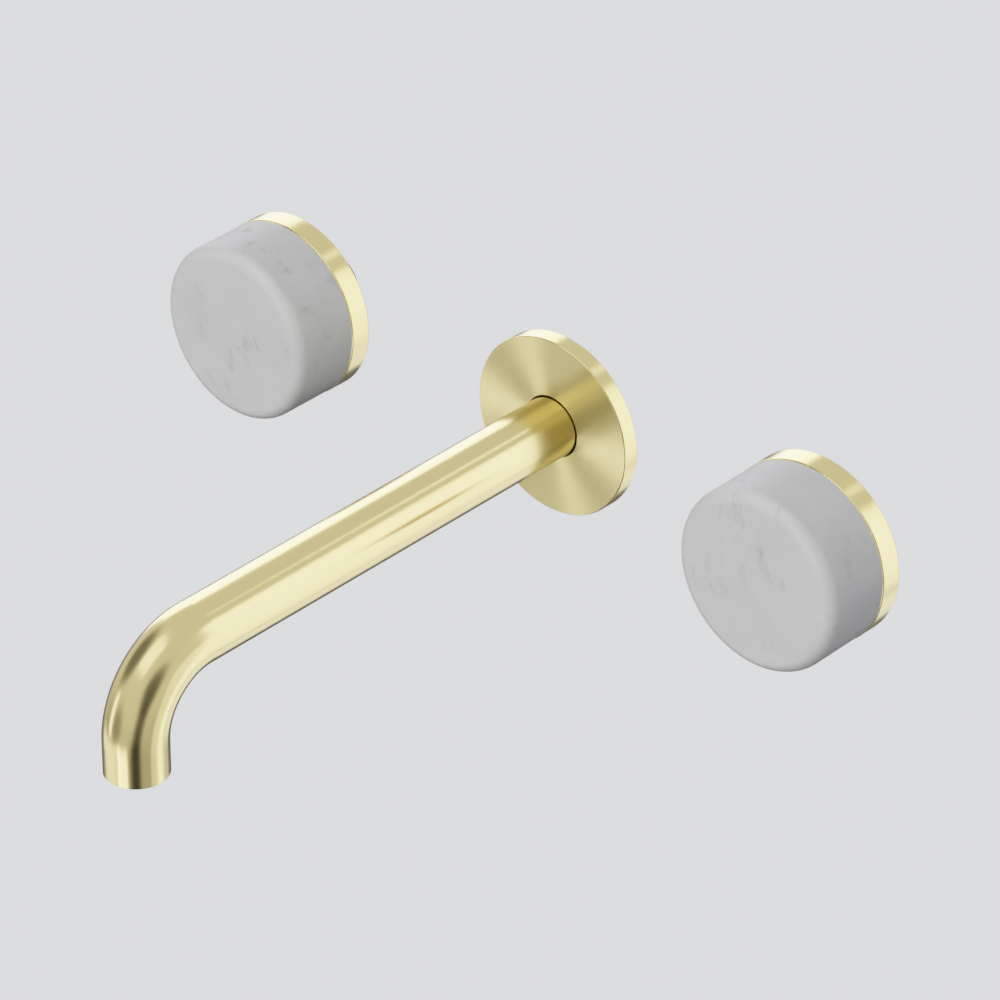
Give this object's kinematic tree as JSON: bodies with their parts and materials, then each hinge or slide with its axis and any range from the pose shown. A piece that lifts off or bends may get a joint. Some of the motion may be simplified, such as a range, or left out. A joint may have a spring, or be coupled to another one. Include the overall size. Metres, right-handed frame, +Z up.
{
  "type": "wall mounted bath faucet",
  "caption": "Wall mounted bath faucet: a long round spout with a sliding cover flange between quarter-turn taps with marble knobs on brass rings.",
  "frame": {"origin": "on the finished wall, on the spout's axis, at the centre of the cover flange's back face", "axes": "+X to the right along the wall as seen from the room, +Y into the wall, +Z up"},
  "size_m": [0.2746, 0.2138, 0.0656],
  "materials": {
    "brushed_brass": "fine brushed light brass under clear lacquer",
    "marble": "honed white marble with soft grey veins",
    "turned_brass": "turned, uncoated",
    "stainless_steel": "bright",
    "black_rubber": "matt moulded",
    "foam_gasket": "closed-cell foam",
    "white_plastic": "moulded acetal",
    "fibre": "pressed red fibre",
    "alumina": "lapped alumina"
  },
  "bodies": {
    "wall_fixings": {"aerator_housing": "white_plastic", "aerator_insert": "white_plastic", "aerator_screen": "stainless_steel", "aerator_seal": "black_rubber", "cold_fixed_disc": "alumina", "cold_headwork": "turned_brass", "cold_headwork_ring": "black_rubber", "cold_plate_nut": "turned_brass", "cold_seat_seal": "black_rubber", "cold_thrust_washer": "white_plastic", "cold_wall_gasket": "foam_gasket", "cold_wall_plate": "turned_brass", "hot_fixed_disc": "alumina", "hot_headwork": "turned_brass", "hot_headwork_ring": "black_rubber", "hot_plate_nut": "turned_brass", "hot_seat_seal": "black_rubber", "hot_thrust_washer": "white_plastic", "hot_wall_gasket": "foam_gasket", "hot_wall_plate": "turned_brass", "nipple_ring_front": "black_rubber", "nipple_ring_rear": "black_rubber", "nipple_washer": "fibre", "outlet_collar": "turned_brass", "spout_grub_screw": "stainless_steel", "spout_nipple": "turned_brass", "spout_socket": "turned_brass", "spout_tube": "brushed_brass"},
    "spout_cover": {"spout_flange": "brushed_brass", "spout_flange_ring": "black_rubber", "spout_flange_gasket": "foam_gasket"},
    "hot_handle": {"hot_marble_knob": "marble", "hot_handle_base": "brushed_brass", "hot_handle_grub_screw": "stainless_steel", "hot_handle_carrier": "turned_brass", "hot_carrier_screw": "stainless_steel", "hot_spindle": "turned_brass", "hot_spindle_clip": "stainless_steel", "hot_spindle_ring_rear": "black_rubber", "hot_spindle_ring_front": "black_rubber", "hot_moving_disc": "alumina"},
    "cold_handle": {"cold_marble_knob": "marble", "cold_handle_base": "brushed_brass", "cold_handle_grub_screw": "stainless_steel", "cold_handle_carrier": "turned_brass", "cold_carrier_screw": "stainless_steel", "cold_spindle": "turned_brass", "cold_spindle_clip": "stainless_steel", "cold_spindle_ring_rear": "black_rubber", "cold_spindle_ring_front": "black_rubber", "cold_moving_disc": "alumina"}
  },
  "joints": [
    {"name": "hot_turn", "type": "hinge", "parent": "wall_fixings", "child": "hot_handle", "pos_m": [-0.1114, 0, 0], "axis": [0, -1, 0], "range_deg": [0, 90]},
    {"name": "cold_turn", "type": "hinge", "parent": "wall_fixings", "child": "cold_handle", "pos_m": [0.1032, 0, 0], "axis": [0, 1, 0], "range_deg": [0, 90]},
    {"name": "cover_slide", "type": "slide", "parent": "wall_fixings", "child": "spout_cover", "axis": [0, -1, 0], "range_m": [0, 0.15]}
  ]
}
